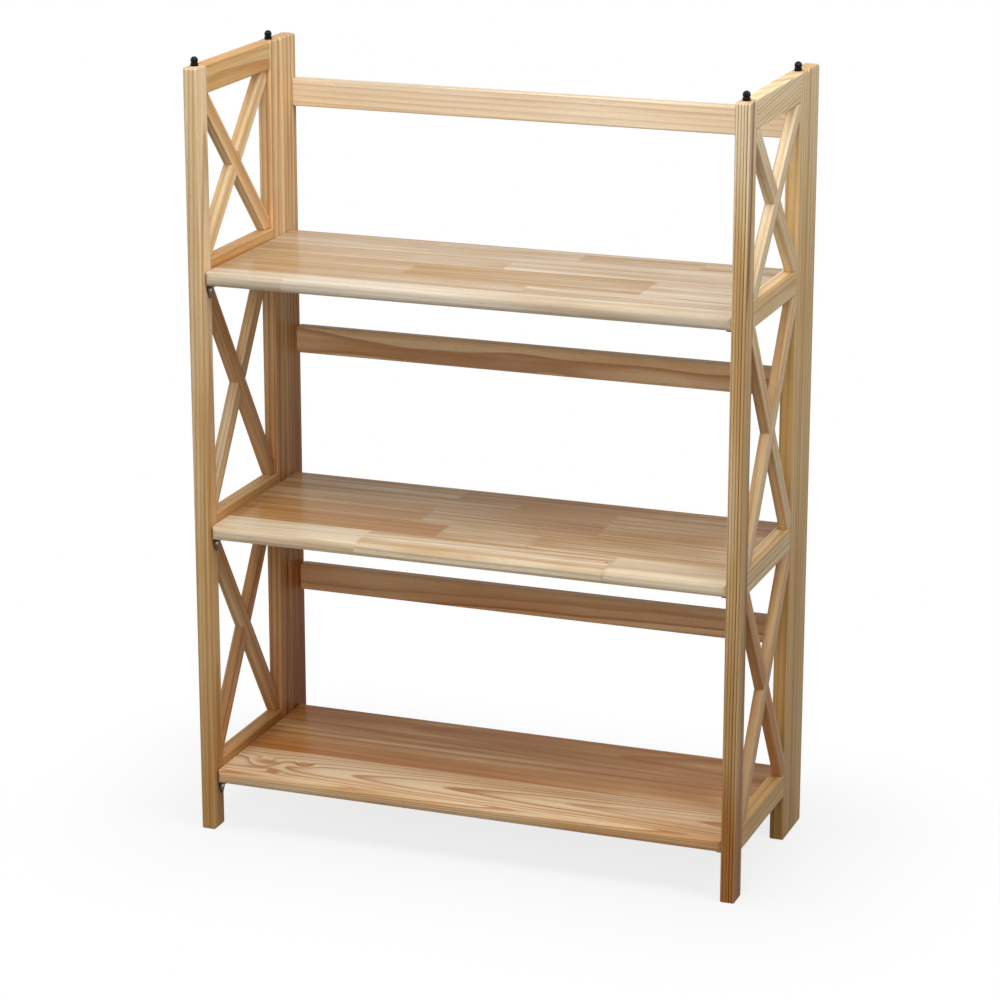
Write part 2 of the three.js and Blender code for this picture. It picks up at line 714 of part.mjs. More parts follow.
// A shelf: its section run across the width, its corners rounded in plan, its ends bored
function shelfBody() {
  const length = INNER_WIDTH - 2 * SHELF_END_CLEARANCE;
  const section = new THREE.ExtrudeGeometry(shelfSection(), {
    depth: length - 2 * SHELF_END_EASE,
    bevelEnabled: true,
    bevelThickness: SHELF_END_EASE,
    bevelSize: SHELF_END_EASE,
    bevelOffset: -SHELF_END_EASE,
    bevelSegments: EDGE_STEPS,
    curveSegments: NOSE_STEPS,
  });
  section.translate(0, 0, SHELF_END_EASE - length / 2);
  let body = solid(facingSide(section));
  const rear = PIVOT_DEPTH + SHELF_THICKNESS / 2;
  const plan = roundedOutline(
    length, rear - SHELF_FRONT_SETBACK, SHELF_CORNER_RADIUS, SHELF_CORNER_RADIUS,
  );
  const trim = plainExtrusion(plan, SHELF_THICKNESS + 2 * CUT_OVERRUN, ARC_STEPS);
  trim.translate(-length / 2, SHELF_FRONT_SETBACK, -CUT_OVERRUN);
  body = body.intersect(solid(trim));
  const seat = PIVOT_SHELF_SEAT + FIT_GAP;
  for (const side of [-1, 1]) {
    body = body.subtract(crossBar(
      PIVOT_PIN_RADIUS + PIVOT_RUNNING_CLEARANCE,
      seat + CUT_OVERRUN,
      side * (INNER_WIDTH / 2 - (seat - CUT_OVERRUN) / 2),
      PIVOT_DEPTH,
      SHELF_THICKNESS / 2,
      PIVOT_SIDES,
    ));
  }
  return body;
}

// The three slats and the three shelves between the sides
function makeMiddle() {
  const group = new THREE.Group();
  SHELF_LEVELS.forEach((level, index) => {
    group.add(woodPiece(`${level}_back_slat`, slatBody(slatFoot(index)), BROWN_PINE));
    group.add(woodPiece(`${level}_shelf`, shelfBody(), SHELF_PINE, 0, levelHeight(index)));
  });
  return group;
}

// The whole bookcase, its depth centred on the origin
function makeBookcase() {
  const bookcase = new THREE.Group();
  bookcase.position.y = -DEPTH / 2;
  for (const [sideName, hand] of [['left', 1], ['right', -1]]) {
    const side = new THREE.Group();
    side.position.x = -hand * (WIDTH - PANEL_THICKNESS) / 2;
    side.add(makeSideFrame(sideName, hand));
    side.add(makeHinges(sideName, hand));
    side.add(makePost(sideName, hand));
    bookcase.add(side);
  }
  bookcase.add(makeMiddle());
  return bookcase;
}

export default makeBookcase();
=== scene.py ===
"""Dresses the folding pine bookcase: boards, metal and plastic fittings, screws, studio and camera."""

import logging
import math
import random
from dataclasses import dataclass
from enum import Enum
from typing import Any, Mapping, Optional, Sequence, Union

import bmesh
import bpy
from mathutils import Euler, Matrix, Vector


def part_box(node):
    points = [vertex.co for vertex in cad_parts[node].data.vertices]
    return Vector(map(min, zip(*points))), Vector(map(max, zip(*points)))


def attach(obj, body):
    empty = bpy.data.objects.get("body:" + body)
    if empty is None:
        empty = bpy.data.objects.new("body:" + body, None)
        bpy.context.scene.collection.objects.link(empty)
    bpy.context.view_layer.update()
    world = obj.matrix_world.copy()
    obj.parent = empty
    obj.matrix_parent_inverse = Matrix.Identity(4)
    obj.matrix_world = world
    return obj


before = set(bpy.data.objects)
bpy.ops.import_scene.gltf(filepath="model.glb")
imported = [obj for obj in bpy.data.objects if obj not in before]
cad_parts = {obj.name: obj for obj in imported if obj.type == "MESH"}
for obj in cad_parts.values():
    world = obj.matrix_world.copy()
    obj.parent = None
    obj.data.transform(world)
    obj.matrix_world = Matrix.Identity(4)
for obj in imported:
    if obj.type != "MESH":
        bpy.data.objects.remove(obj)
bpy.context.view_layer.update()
LOG = logging.getLogger("bookcase")
Number = Union["Signal", float]
Span = tuple[float, float]
Point = tuple[float, float, float]
Colour = tuple[float, float, float, float]
Stops = Sequence[tuple[float, Colour]]
Material = bpy.types.Material
MM = 0.001
LEVELS = ("bottom", "middle", "top")


def linear(code: str) -> Colour:
    """Turns a six-digit sRGB code into a linear colour.

    Args:
        code: Six hexadecimal digits, red first.

    Returns:
        The linear red, green and blue, and an alpha of 1.
    """
    shares = [int(code[start:start + 2], 16) / 255 for start in (0, 2, 4)]
    red, green, blue = [share / 12.92 if share <= 0.04045 else ((share + 0.055) / 1.055) ** 2.4
                        for share in shares]
    return red, green, blue, 1.0


def grey(level: float) -> Colour:
    """A linear grey of one level."""
    return level, level, level, 1.0


def stand(name: str, data: Any) -> bpy.types.Object:
    """Makes an object and stands it in the scene.

    Args:
        name: The object's name.
        data: Its mesh, lamp or camera.

    Returns:
        The object.
    """
    made = bpy.data.objects.new(name, data)
    bpy.context.scene.collection.objects.link(made)
    return made


class Signal:
    """One output of a shader node, on which arithmetic adds the Math nodes that it needs."""

    def __init__(self, bench: "Bench", socket: Optional[bpy.types.NodeSocket]) -> None:
        """Keeps the bench of the tree and the socket."""
        self.bench = bench
        self.socket = socket

    def math(self, operation: str, *operands: Number) -> "Signal":
        """Adds one Math node, whose operands are signals or plain numbers in order."""
        return self.bench.node("ShaderNodeMath", {"operation": operation}, dict(enumerate(operands)))

    def __add__(self, other: Number) -> "Signal":
        """Sum."""
        return self.math("ADD", self, other)

    def __radd__(self, other: Number) -> "Signal":
        """Sum with a number on the left."""
        return self.math("ADD", other, self)

    def __sub__(self, other: Number) -> "Signal":
        """Difference."""
        return self.math("SUBTRACT", self, other)

    def __rsub__(self, other: Number) -> "Signal":
        """Difference from a number, so that 1 - mask works."""
        return self.math("SUBTRACT", other, self)

    def __mul__(self, other: Number) -> "Signal":
        """Product."""
        return self.math("MULTIPLY", self, other)

    def __rmul__(self, other: Number) -> "Signal":
        """Product with a number on the left."""
        return self.math("MULTIPLY", other, self)

    def __truediv__(self, other: Number) -> "Signal":
        """Quotient."""
        return self.math("DIVIDE", self, other)

    def __rtruediv__(self, other: Number) -> "Signal":
        """Quotient of a number."""
        return self.math("DIVIDE", other, self)

    def __abs__(self) -> "Signal":
        """Size without its sign."""
        return self.math("ABSOLUTE", self)

    def low(self, other: Number) -> "Signal":
        """The smaller of two values."""
        return self.math("MINIMUM", self, other)

    def high(self, other: Number) -> "Signal":
        """The larger of two values."""
        return self.math("MAXIMUM", self, other)

    def floor(self) -> "Signal":
        """Whole part."""
        return self.math("FLOOR", self)

    def fract(self) -> "Signal":
        """Part after the point."""
        return self.math("FRACT", self)

    def root(self) -> "Signal":
        """Square root."""
        return self.math("SQRT", self)

    def ease(self, start: float, end: float) -> "Signal":
        """Eases from 0 at one value to 1 at another.

        Args:
            start: The value that gives 0.
            end: The value that gives 1.

        Returns:
            The eased share.
        """
        settings = {"interpolation_type": "SMOOTHSTEP", "clamp": True}
        values = {"Value": self, "From Min": start, "From Max": end, "To Min": 0.0, "To Max": 1.0}
        return self.bench.node("ShaderNodeMapRange", settings, values)

    def ramp(self, stops: Stops, steps: bool = False) -> "Signal":
        """Reads a colour ramp at this value, which jumps from stop to stop where steps is true."""
        settings = {"interpolation": "CONSTANT" if steps else "LINEAR", "stops": stops}
        return self.bench.node("ShaderNodeValToRGB", settings, {"Fac": self})

    def shape(self, stops: Sequence[Span]) -> "Signal":
        """Reads a grey ramp at this value, from its places with their levels."""
        return self.ramp([(place, grey(level)) for place, level in stops])

    def also(self, name: str) -> "Signal":
        """Another output of the same node."""
        return Signal(self.bench, self.socket.node.outputs[name])

    def parts(self) -> tuple["Signal", "Signal", "Signal"]:
        """The three numbers of a vector or colour."""
        first = self.bench.node("ShaderNodeSeparateXYZ", None, {0: self})
        return first, first.also("Y"), first.also("Z")


@dataclass(frozen=True)
class Pattern:
    """Cloudy noise: its waves per metre along each axis, its seed, its finer layers and their strength."""

    waves: Point
    seed: float
    layers: float = 2.0
    strength: float = 0.5
    way: Point = (1.0, 0.37, 0.71)

    def shift(self, seed: float) -> Point:
        """How far the noise is moved for its own seed and a board's."""
        far = self.seed + seed
        return far * self.way[0], far * self.way[1], far * self.way[2]


class Bench:
    """The node tree of one material or of the world, with the one method that adds nodes to it."""

    def __init__(self, owner: Union[Material, bpy.types.World]) -> None:
        """Empties the owner's node tree.

        Args:
            owner: The material or the world that the nodes are for.
        """
        owner.use_nodes = True
        self.owner = owner
        self.tree = owner.node_tree
        self.tree.nodes.clear()

    @classmethod
    def named(cls, name: str) -> "Bench":
        """Starts a new material."""
        return cls(bpy.data.materials.new(name))

    def node(self, kind: str, settings: Optional[Mapping[str, Any]] = None,
             values: Optional[Mapping[Any, Any]] = None, output: Any = 0) -> Signal:
        """Adds one node.

        Args:
            kind: The node's type.
            settings: Its own properties, and the stops of a ramp in rising order. They are set first.
            values: Values or signals for its inputs, by name or place.
            output: The output wanted, by name or place.

        Returns:
            That output, or an empty signal of a node that has none.
        """
        made = self.tree.nodes.new(kind)
        for key, value in (settings or {}).items():
            if key == "interpolation":
                made.color_ramp.interpolation = value
            elif key == "stops":
                elements = made.color_ramp.elements
                elements.remove(elements[1])
                elements[0].position, elements[0].color = value[0]
                for place, colour in value[1:]:
                    elements.new(place).color = colour
            else:
                setattr(made, key, value)
        for key, value in (values or {}).items():
            if isinstance(value, Signal):
                self.tree.links.new(value.socket, made.inputs[key])
            else:
                made.inputs[key].default_value = value
        return Signal(self, made.outputs[output] if len(made.outputs) else None)

    def join(self, x: Number, y: Number, z: Number) -> Signal:
        """Joins three numbers to a vector."""
        return self.node("ShaderNodeCombineXYZ", None, {0: x, 1: y, 2: z})

    def mix(self, share: Number, start: Any, end: Any, mode: str = "MIX") -> Signal:
        """Mixes a share of the second colour into the first, in the Mix node's way of blending."""
        settings = {"data_type": "RGBA", "blend_type": mode}
        return self.node("ShaderNodeMix", settings, {0: share, 6: start, 7: end}, 2)

    def here(self) -> Signal:
        """The place on the object, in metres."""
        return self.node("ShaderNodeTexCoord", None, None, "Object")

    def noise(self, place: Signal, pattern: Pattern, seed: float = 0.0) -> Signal:
        """Reads cloudy noise.

        Args:
            place: The vector at which it is read.
            pattern: The noise.
            seed: Moves the noise on, so that each board has its own.

        Returns:
            The noise's level, and its colour as another output.
        """
        shifted = self.node("ShaderNodeVectorMath", {"operation": "MULTIPLY_ADD"},
                            {0: place, 1: pattern.waves, 2: pattern.shift(seed)})
        values = {"Vector": shifted, "Scale": 1.0, "Detail": pattern.layers, "Roughness": pattern.strength}
        return self.node("ShaderNodeTexNoise", None, values)

    def dice(self, first: Number, second: Number, third: Number = 0.5) -> Signal:
        """A chance colour that is the same wherever the numbers are the same."""
        values = {"Vector": self.join(first, second, third)}
        return self.node("ShaderNodeTexWhiteNoise", {"noise_dimensions": "3D"}, values, "Color")

    def relief(self, height: Signal, strength: float, depth: float) -> Signal:
        """Turns a height of 0 to 1 into a bumped normal, by the share that shows and the depth in metres."""
        return self.node("ShaderNodeBump", None, {"Strength": strength, "Distance": depth, "Height": height})

    def surface(self, values: Mapping[str, Any]) -> Material:
        """Closes the material with its surface shader.

        Args:
            values: Values or signals of the shader's inputs.

        Returns:
            The finished material.
        """
        shader = self.node("ShaderNodeBsdfPrincipled", None, values)
        self.node("ShaderNodeOutputMaterial", None, {"Surface": shader})
        return self.owner


@dataclass(frozen=True)
class Mark:
    """A mark on a surface: its colour, and its share where it is strongest."""

    colour: str
    share: float

    def over(self, below: Any, where: Signal) -> Signal:
        """Lays the mark over a colour where it belongs, and gives the new colour."""
        return where.bench.mix(where * self.share, below, linear(self.colour))


class Grain(Enum):
    """The way that a board's fibres run on the bookcase."""

    WIDTH = "width"
    DEPTH = "depth"
    HEIGHT = "height"
    RISING = "rising"
    FALLING = "falling"

    def turn(self, size: Vector) -> Point:
        """Angles that turn the first axis to the fibres.

        Args:
            size: The board's box, whose diagonal a brace follows.

        Returns:
            The angles about x, y and z.
        """
        slant = math.atan2(size.z, size.y)
        return {
            Grain.WIDTH: (0.0, 0.0, 0.0),
            Grain.DEPTH: (0.0, 0.0, math.pi / 2),
            Grain.HEIGHT: (0.0, -math.pi / 2, 0.0),
            Grain.RISING: (0.0, -slant, math.pi / 2),
            Grain.FALLING: (0.0, slant, math.pi / 2),
        }[self]


class Side(Enum):
    """The two ends of the bookcase, each with its sign along the width."""

    LEFT = -1
    RIGHT = 1

    @property
    def word(self) -> str:
        """The side's name at the front of its nodes' names."""
        return self.name.lower()


@dataclass(frozen=True)
class PineFinish:
    """One sort of pine: its colours, the strength of its rings, its roughness and its gloss."""

    sap: str
    early: str
    late: str
    honey: str
    ring: float = 0.6
    roughness: float = 0.4
    gloss: float = 0.035


@dataclass(frozen=True)
class Knot:
    """A swirl of the fibres on a board's face, in millimetres from the board's middle."""

    along: float
    across: float
    size: float
    swell: float = 9.0
    long: float = 1.5
    stain: float = 0.0

    def near(self, x: Signal, y: Signal) -> Signal:
        """How near a place on the board is to the knot, 1 at its middle.

        Args:
            x: The place along the board.
            y: The place across it.

        Returns:
            The nearness.
        """
        aside = (y - self.across * MM) / (self.size * MM)
        far = (x - self.along * MM) / (self.size * self.long * MM)
        reach = 1 + aside * aside + far * far
        return 1 / (reach * reach)


@dataclass(frozen=True)
class Board:
    """One board: its node, its fibres, and how its rings lie, in millimetres and millimetres per metre.

    The tone goes from 0 on pale sapwood to 1 on honey-coloured wood. It changes for each metre along the
    fibres by a painted shade, which makes the uprights darker and more honey-coloured towards the bottom.
    """

    node: str
    grain: Grain
    finish: PineFinish
    pith: Span = (0.0, 0.0)
    lean: float = 15.0
    spacing: float = 4.0
    warp: float = 4.0
    seed: float = 0.0
    tone: float = 0.35
    # Painted shade: the change of tone per metre along the fibres, darker towards the bottom of the
    # uprights.
    fade: float = 0.0
    knots: tuple[Knot, ...] = ()

    def size(self) -> Vector:
        """The size of its box."""
        low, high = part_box(self.node)
        return high - low


@dataclass(frozen=True)
class Heart:
    """The heart of the tree as one board sees it, in metres, as numbers or as signals."""

    across: Number
    depth: Number
    lean: Number
    spacing: Number
    force: Number = 1.0


@dataclass(frozen=True)
class Piece:
    """One piece of a stave: where it ends, its tone and how its rings lie, in the units of a board."""

    end: float
    tone: float
    aside: float = 0.0
    below: float = 60.0
    lean: float = 0.0
    spacing: float = 2.8
    force: float = 1.0


@dataclass(frozen=True)
class Stave:
    """One row of a shelf: its width in millimetres, and its pieces from left to right."""

    width: float
    pieces: Sequence[Piece]


PALE_PINE = PineFinish("fae4b8", "f4d6a4", "b07640", "d8ac6e")
STILE_PINE = PineFinish("f2dab2", "e6c08a", "a8703a", "cc9a5c")
STRIPED_PINE = PineFinish("f2dab2", "deba80", "703814", "b87e44", ring=1.15)
POST_PINE = PineFinish("f0d09e", "deb07c", "925228", "b87438", ring=0.62)
SIDE_PINE = PineFinish("f3daac", "e4bc7a", "a8663a", "cc9c58")
GOLDEN_PINE = PineFinish("f0d8aa", "e4be84", "ae7034", "c98640")
BRACE_PINE = PineFinish("f8e4be", "ecc894", "aa683a", "ca8c54", ring=0.5)
# The middle and bottom shelves' warmer, more saturated pine is partly their own wood and partly painted
# shade.
CREAM_SHELF_PINE = PineFinish("e2d4be", "c8ae8c", "986a3c", "b88c46", roughness=0.24, gloss=0.03)
TAWNY_SHELF_PINE = PineFinish("f6e4c4", "d8b07c", "9a5e28", "bc7c3a", ring=0.75, roughness=0.24, gloss=0.03)
WARM_SHELF_PINE = PineFinish("f6dcb2", "deae74", "b8662a", "bc7832", ring=0.95, roughness=0.24, gloss=0.03)
CREAM_SLAT_PINE = PineFinish("ecdac0", "e6cfac", "c08c56", "dab07a", ring=0.5)
SLAT_PINE = PineFinish("f8e0bc", "eac69a", "aa6c40", "d09a64", ring=0.75)


@dataclass(frozen=True)
class PineShop:
    """Makes the pine of every board and shelf, with the patterns and shares that all of them have."""

    drift: Pattern = Pattern((3.2, 11, 11), 3.1, 2, 0.45)
    widths: Pattern = Pattern((0.6, 14, 14), 9.7, 1)
    streaks: Pattern = Pattern((4, 260, 260), 21, 2, 0.6)
    fibres: Pattern = Pattern((34, 1900, 1900), 5, 2, 0.6)
    clouds: Pattern = Pattern((4, 17, 17), 13, 3, 0.55)
    ducts: Pattern = Pattern((120, 2100, 2100), 31, 0)
    resin: Pattern = Pattern((1.8, 62, 62), 17)
    tones: Pattern = Pattern((1.1, 25, 25), 41, 1)
    fray: Pattern = Pattern((45, 90, 90), 51)
    ring_profile: tuple[Span, ...] = (
        (0.0, 0.0), (0.35, 0.05), (0.62, 0.3), (0.82, 0.9), (0.93, 1.0), (1.0, 0.0),
    )
    width_change: float = 1.5
    force_seed: float = 0.3
    force_change: float = 0.55
    least_force: float = 0.5
    end_range: Span = (0.35, 0.9)
    edge_range: Span = (0.3 * MM, 2.4 * MM)
    duct_range: Span = (0.7, 0.78)
    stain_range: Span = (0.42, 0.75)
    fray_share: float = 0.9
    tone_spread: float = 0.7
    resin_share: float = 1.3
    early_tone: float = 0.4
    ring_loss_on_end: float = 0.35
    streak_share: float = 0.33
    fibre_share: float = 0.24
    duct_mark: Mark = Mark("8a5a35", 0.3)
    stain_mark: Mark = Mark("b8642a", 0.6)
    end_mark: Mark = Mark("c08a5e", 0.45)
    # Paler along the eased edges: partly wear of the arrises, partly a painted highlight.
    edge_mark: Mark = Mark("efdab4", 0.3)
    line_mark: Mark = Mark("80522e", 0.4)
    fibre_rough: float = 0.14
    late_rough: float = -0.05
    end_rough: float = 0.2
    late_height: float = 0.12
    fibre_height: float = 0.5
    streak_height: float = 0.3
    duct_depth: float = 0.6
    bump: float = 0.3
    bump_depth: float = 0.1 * MM
    brace_width: float = 20.0

    @staticmethod
    def place(board: Board) -> Signal:
        """Starts a board's material.

        Args:
            board: The board.

        Returns:
            The place in metres from the board's middle, with x along its fibres.
        """
        bench = Bench.named("pine_" + board.node)
        low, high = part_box(board.node)
        turn = board.grain.turn(high - low)
        values = {"Vector": bench.here(), "Location": (low + high) / 2, "Rotation": turn}
        return bench.node("ShaderNodeMapping", {"vector_type": "TEXTURE"}, values)

    def end_grain(self, bench: Bench, turn: Point) -> Signal:
        """Where the surface cuts across the fibres.

        Args:
            bench: The material's bench.
            turn: The angles that turn x to the fibres.

        Returns:
            1 on end grain, 0 elsewhere.
        """
        along = Euler(turn).to_matrix() @ Vector((1, 0, 0))
        facing = bench.node("ShaderNodeTexCoord", None, None, "Normal")
        settings = {"operation": "DOT_PRODUCT"}
        across = bench.node("ShaderNodeVectorMath", settings, {0: facing, 1: along}, "Value")
        return abs(across).ease(*self.end_range)

    def edge(self, place: Signal, half: Vector) -> Signal:
        """How near the surface is to an edge of the board.

        Args:
            place: The place on the board.
            half: Half the board's size along its own axes.

        Returns:
            1 on the edges, fading to 0 about two millimetres in.
        """
        gaps = [size - abs(part) for size, part in zip(half, place.parts())]
        middle = gaps[0].low(gaps[1]).high(gaps[0].high(gaps[1]).low(gaps[2]))
        return 1 - middle.ease(*self.edge_range)

    def rings(self, place: Signal, own: Signal, heart: Heart, board: Board) -> Signal:
        """The growth rings, as arcs round the heart of the tree.

        Args:
            place: The place on the board.
            own: The place at which noise is read, which differs from piece to piece.
            heart: Where the heart lies, how it drifts along the board, and how far apart the rings are.
            board: The board's warp, seed and knots.

        Returns:
            The late wood's share.
        """
        bench = place.bench
        x, y, z = place.parts()
        sway, lift, _ = bench.noise(own, self.drift, board.seed).also("Color").parts()
        side = y - heart.across + (sway - 0.5) * (board.warp * MM)
        down = z + heart.depth + x * heart.lean + (lift - 0.5) * (board.warp * MM)
        radius = (side * side + down * down).root()
        for knot in board.knots:
            radius = radius + (knot.swell * MM) * knot.near(x, y)
        wide = bench.noise(own, self.widths, board.seed)
        phase = radius / heart.spacing + wide * self.width_change + board.seed
        share = phase.fract().shape(self.ring_profile)
        force, _, _ = bench.dice(phase.floor(), board.seed + self.force_seed).parts()
        return share * (force * self.force_change + self.least_force) * heart.force

    def stain(self, place: Signal, board: Board) -> Optional[Signal]:
        """The resin stain round a board's knots, ragged at its edges.

        Args:
            place: The place on the board.
            board: The board.

        Returns:
            The stain's share, or nothing where no knot is stained.
        """
        stained = [knot for knot in board.knots if knot.stain]
        if not stained:
            return None
        x, y, _ = place.parts()
        total: Number = 0.0
        for knot in stained:
            total = knot.near(x, y) * knot.stain + total
        frayed = place.bench.noise(place, self.fray, board.seed)
        return (total + (frayed - 0.5) * self.fray_share).ease(*self.stain_range)

    def wood(self, board: Board, place: Signal, own: Signal, heart: Heart, tone: Signal,
             lines: Optional[Signal] = None) -> Material:
        """Colours and closes a board's material.

        Args:
            board: The board, with its pine and its seed.
            place: The place on the board.
            own: The place at which noise is read, which differs from piece to piece.
            heart: Where the heart lies.
            tone: 0 on pale sapwood, 1 on honey-coloured wood.
            lines: The share of the lines where the pieces of a shelf meet.

        Returns:
            The finished material.
        """
        bench, finish, seed = own.bench, board.finish, board.seed
        late = self.rings(place, own, heart, board)
        edge = self.edge(place, self._half(board))
        end = self.end_grain(bench, board.grain.turn(board.size()))
        stain = self.stain(place, board)
        streak = bench.noise(own, self.streaks, seed)
        fibre = bench.noise(own, self.fibres, seed)
        cloud = bench.noise(own, self.clouds, seed)
        duct = bench.noise(own, self.ducts, seed).ease(*self.duct_range)
        resin = bench.noise(own, self.resin, seed)
        side = 1 - end
        flow = tone + (cloud - 0.5) + (resin - 0.5) * side * self.resin_share
        early = flow.ramp([(0.0, linear(finish.sap)), (self.early_tone, linear(finish.early)),
                           (1.0, linear(finish.honey))])
        rings = late * finish.ring * (1 - end * self.ring_loss_on_end)
        colour = bench.mix(rings, early, linear(finish.late))
        grain = (streak - 0.5) * self.streak_share + (fibre - 0.5) * self.fibre_share + 1.0
        colour = bench.mix(1.0, colour, bench.join(grain, grain, grain), "MULTIPLY")
        colour = self.duct_mark.over(colour, duct * side)
        if stain is not None:
            colour = self.stain_mark.over(colour, stain * side)
        colour = self.end_mark.over(colour, end)
        # Paler edges: partly wear, partly a painted highlight where the eased edges catch light.
        colour = self.edge_mark.over(colour, edge * streak)
        if lines is not None:
            colour = self.line_mark.over(colour, lines)
        rough = (fibre - 0.5) * self.fibre_rough + late * self.late_rough
        raised = late * self.late_height + fibre * self.fibre_height + streak * self.streak_height
        height = raised - duct * self.duct_depth
        return bench.surface({
            "Base Color": colour,
            "Roughness": rough + end * self.end_rough + finish.roughness,
            "Normal": bench.relief(height, self.bump, self.bump_depth),
            "Specular IOR Level": finish.gloss,
        })

    def dress(self, board: Board) -> None:
        """Gives one solid board its pine.

        Args:
            board: The board.
        """
        place = self.place(board)
        across, below = board.pith
        heart = Heart(across * MM, below * MM, board.lean * MM, board.spacing * MM)
        tone = place.bench.noise(place, self.tones, board.seed) * self.tone_spread
        # The last term paints shade: the lower part of an upright gets a darker, more honey-coloured tone.
        tone = tone + (board.tone - self.tone_spread / 2) + place.parts()[0] * board.fade
        put_on(board.node, self.wood(board, place, place, heart, tone))

    def _half(self, board: Board) -> Vector:
        """Half a board's size along its own axes.

        Args:
            board: The board.

        Returns:
            Half its length, breadth and thickness.
        """
        size = board.size()
        if board.grain in (Grain.RISING, Grain.FALLING):
            return Vector((math.hypot(size.y, size.z), size.x, self.brace_width * MM)) / 2
        return {Grain.WIDTH: size, Grain.DEPTH: size.yxz, Grain.HEIGHT: size.zyx}[board.grain] / 2


# Between which values the fields of a piece lie, so that a ramp can hold them as shares.
LIMITS: Mapping[str, Span] = {
    "tone": (-0.5, 1.0), "aside": (-150.0, 150.0), "below": (0.0, 400.0),
    "lean": (-100.0, 100.0), "spacing": (0.0, 20.0), "force": (0.0, 2.0),
}


@dataclass
class Shelf:
    """One shelf: a board glued up from staves, whose pieces meet in finger joints.

    Lengths are in millimetres, and glue_half is a share of the shelf's depth.
    """

    node: str
    finish: PineFinish
    staves: Sequence[Stave]
    seed: float
    knots: tuple[Knot, ...] = ()
    warp: float = 4.0
    finger_depth: float = 4.0
    finger_pitch: float = 4.2
    joint_half: float = 0.45
    joint_share: float = 0.7
    glue_half: float = 0.0014
    glue_share: float = 0.5
    piece_shift: Point = (5.3, 3.1, 0.0)
    places: tuple[str, ...] = ("tone", "aside", "below")
    courses: tuple[str, ...] = ("lean", "spacing", "force")

    def dress(self, shop: PineShop) -> None:
        """Gives the shelf its staves, rings and joints.

        Args:
            shop: The shop that makes the pine.
        """
        board = Board(self.node, Grain.WIDTH, self.finish, warp=self.warp, seed=self.seed, knots=self.knots)
        size = board.size()
        place = shop.place(board)
        x, y, _ = place.parts()
        row = y / size.y + 0.5
        comb = (abs((y / (self.finger_pitch * MM)).fract() - 0.5) - 0.25) * (2 * self.finger_depth * MM)
        reach = (x + comb) / size.x + 0.5
        first, second = [self._packed(row, reach, size.x, names) for names in (self.places, self.courses)]
        joints = self._chosen(row, [reach.shape(self._joints(stave, size.x)) for stave in self.staves])
        middle, _, _ = row.ramp(self._middles(), steps=True).parts()
        tone, aside, below = self._read(first, self.places)
        lean, spacing, force = self._read(second, self.courses)
        heart = Heart((middle - 0.5) * size.y + aside * MM, below * MM, lean * MM, spacing * MM, force)
        moved = {0: first, 1: self.piece_shift, 2: place}
        own = place.bench.node("ShaderNodeVectorMath", {"operation": "MULTIPLY_ADD"}, moved)
        glue = row.shape(thin_lines(self._starts()[1:], self.glue_half))
        lines = (joints * self.joint_share).high(glue * self.glue_share)
        put_on(self.node, shop.wood(board, place, own, heart, tone, lines))

    def _starts(self) -> list[float]:
        """Where each stave begins, as a share of the shelf's depth."""
        total = sum(stave.width for stave in self.staves)
        starts = [0.0]
        for stave in self.staves[:-1]:
            starts.append(starts[-1] + stave.width / total)
        return starts

    def _chosen(self, row: Signal, found: Sequence[Signal]) -> Signal:
        """Takes the value of the stave in which a place lies.

        Args:
            row: The place across the shelf, as a share.
            found: The value of every stave.

        Returns:
            The value of the place's own stave.
        """
        value = found[0]
        for start, other in zip(self._starts()[1:], found[1:]):
            value = row.bench.mix(row.math("GREATER_THAN", row, start), value, other)
        return value

    def _packed(self, row: Signal, reach: Signal, length: float, names: Sequence[str]) -> Signal:
        """Three values of the piece in which a place lies, as shares packed in one colour.

        Args:
            row: The place across the shelf, as a share.
            reach: The place along the shelf, as a share.
            length: The shelf's length in metres.
            names: The three fields that are packed.

        Returns:
            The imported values.
        """
        found = [reach.ramp(self._stops(stave, length, names), steps=True) for stave in self.staves]
        return self._chosen(row, found)

    @staticmethod
    def _stops(stave: Stave, length: float, names: Sequence[str]) -> Stops:
        """Three values of each piece of a stave as the stops of a stepped ramp.

        Args:
            stave: The stave.
            length: The shelf's length in metres.
            names: The three fields that are read.

        Returns:
            The ramp's stops.
        """
        stops, begin = [], 0.0
        for piece in stave.pieces:
            shares = []
            for name in names:
                least, most = LIMITS[name]
                shares.append((getattr(piece, name) - least) / (most - least))
            stops.append((begin, (*shares, 1.0)))
            begin = piece.end * MM / length + 0.5
        return stops

    @staticmethod
    def _read(packed: Signal, names: Sequence[str]) -> list[Signal]:
        """Turns three packed shares back into the values of the fields named."""
        found = zip([LIMITS[name] for name in names], packed.parts())
        return [share * (most - least) + least for (least, most), share in found]

    def _joints(self, stave: Stave, length: float) -> list[Span]:
        """Thin lines where two pieces of a stave meet, on a shelf of a length in metres."""
        places = [piece.end * MM / length + 0.5 for piece in stave.pieces[:-1]]
        return thin_lines(places, self.joint_half * MM / length)

    def _middles(self) -> Stops:
        """The middle of each stave as the stops of a stepped ramp."""
        starts = self._starts()
        ends = starts[1:] + [1.0]
        return [(start, grey((start + end) / 2)) for start, end in zip(starts, ends)]


def thin_lines(places: Sequence[float], half: float) -> list[Span]:
    """Lines across a grey ramp.

    Args:
        places: The middles of the lines, in rising order.
        half: Half the width of a line.

    Returns:
        The ramp's stops.
    """
    stops = [(0.0, 0.0)]
    for place in places:
        stops += [(place - half, 0.0), (place, 1.0), (place + half, 0.0)]
    return stops


def put_on(node: str, material: Material) -> None:
    """Puts a material on a CAD node."""
    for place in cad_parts[node].material_slots:
        place.material = material


